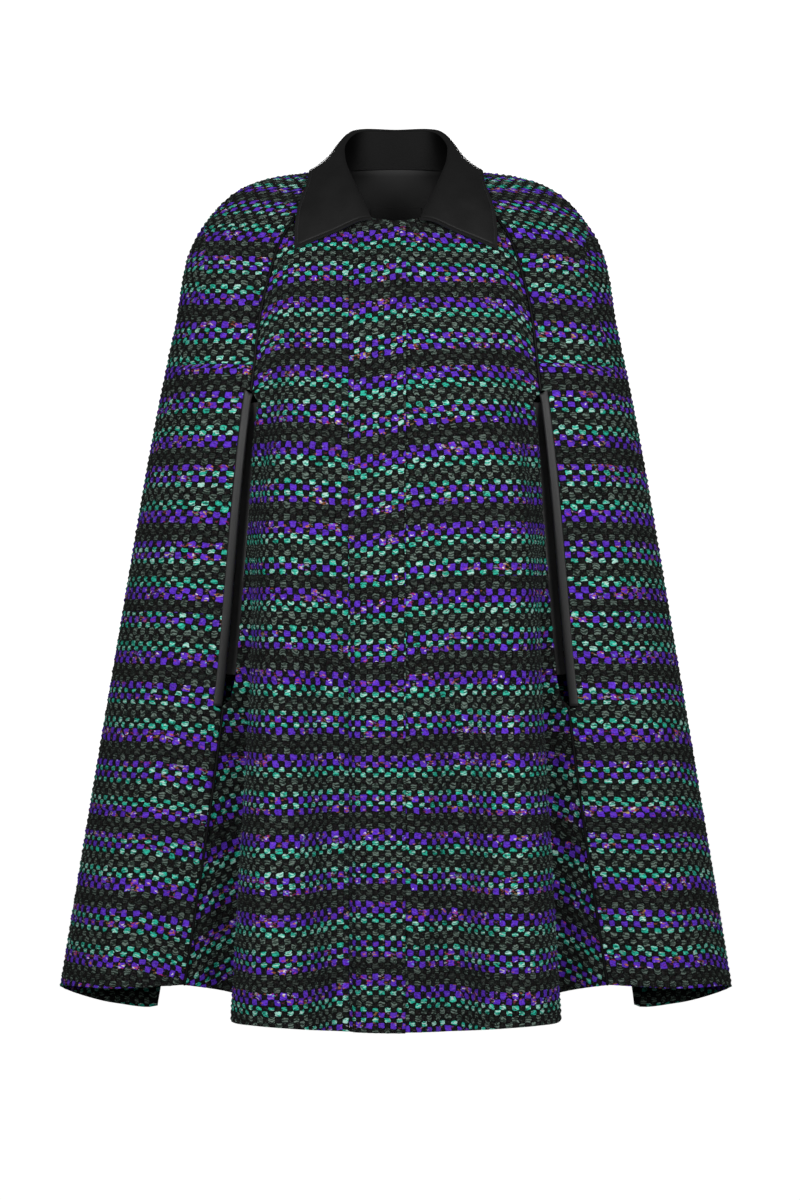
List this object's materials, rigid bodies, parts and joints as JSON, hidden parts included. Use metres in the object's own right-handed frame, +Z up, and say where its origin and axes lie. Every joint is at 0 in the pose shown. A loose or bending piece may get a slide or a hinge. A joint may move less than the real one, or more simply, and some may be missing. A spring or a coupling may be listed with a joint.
{
  "type": "cape coat",
  "caption": "Hollow worn-shape cape coat in striped boucle tweed with a turned-down leather collar, piped front seams, leather-edged arm slits and a flat front band over a hidden fastening.",
  "frame": {"origin": "in the middle between the shoulders, level with the sides of the neck seam, where a wearer's shoulders or a hanger carries the coat", "axes": "+Z up along the coat's length, -Y to the front, +X to the wearer's left"},
  "size_m": [0.696, 0.3646, 0.9246],
  "materials": {
    "tweed": "matt, looped yarn",
    "leather": "satin black, fine grain",
    "satin": "smooth black satin"
  },
  "bodies": {
    "root": {"front_right": "tweed", "front_band": "tweed", "front_left": "tweed", "cape_side_right": "tweed", "cape_side_left": "tweed", "back": "tweed", "collar_fall": "leather", "collar_stand": "leather", "neck_facing": "satin", "label": "satin", "piping_upper_right": "leather", "piping_upper_left": "leather", "piping_lower_right": "leather", "piping_lower_left": "leather", "welt_outer_right": "leather", "welt_outer_left": "leather", "welt_inner_right": "leather", "welt_inner_left": "leather"}
  },
  "joints": []
}
